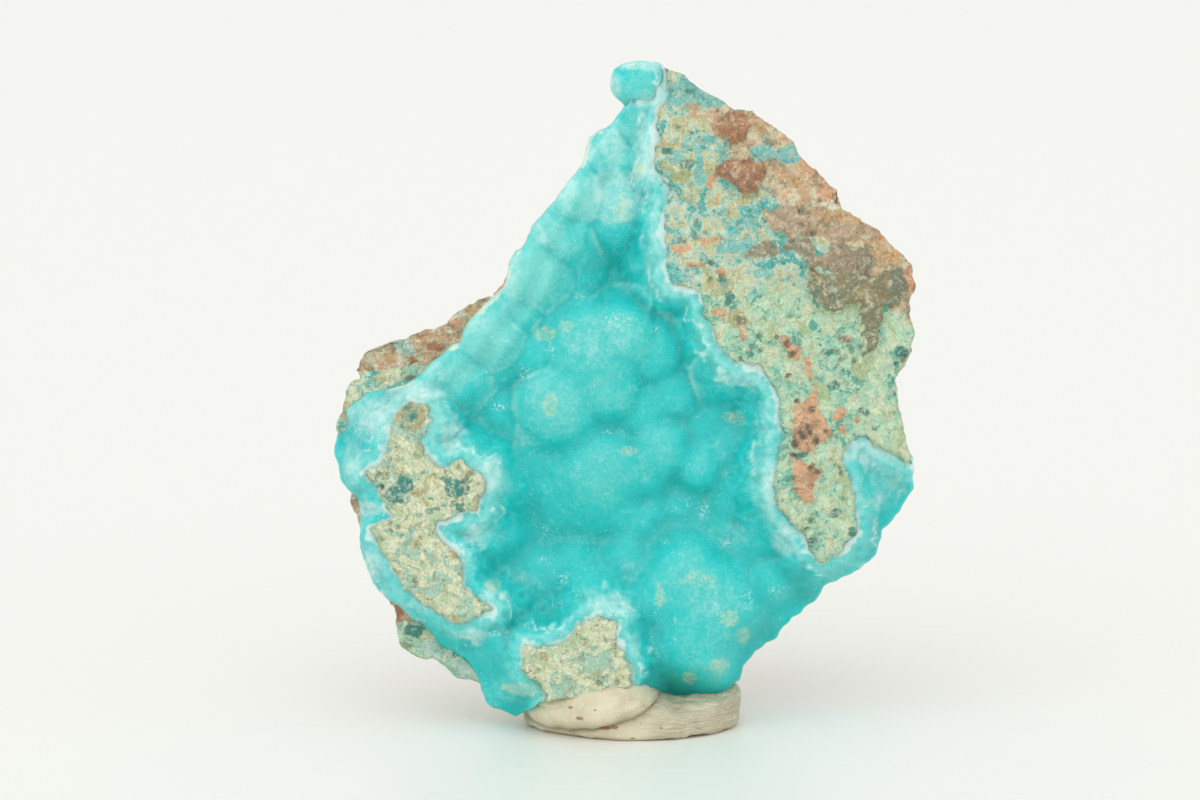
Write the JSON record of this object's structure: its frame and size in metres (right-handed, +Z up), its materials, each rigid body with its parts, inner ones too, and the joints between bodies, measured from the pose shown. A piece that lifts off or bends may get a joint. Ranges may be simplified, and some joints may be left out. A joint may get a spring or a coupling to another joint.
{
  "type": "hemimorphite mineral specimen",
  "caption": "Blue botryoidal hemimorphite crust lining the hollow of a broken stained rock, standing on a pad of mounting putty.",
  "frame": {"origin": "middle of the footprint of the whole specimen's box, on the surface that it stands on", "axes": "+Z up, -Y towards the open side of the hollow, +X to the right as seen from there"},
  "size_m": [0.0524, 0.0238, 0.0603],
  "materials": {
    "matrix": "rough broken rock, pale green and beige with brown and orange stains",
    "crust": "translucent waxy blue crust, white where it meets the rock",
    "putty": "matte off-white putty with folds and fine stretch marks"
  },
  "bodies": {
    "root": {"matrix_rock": "matrix", "hemimorphite_crust": "crust", "mounting_putty": "putty"}
  },
  "joints": []
}
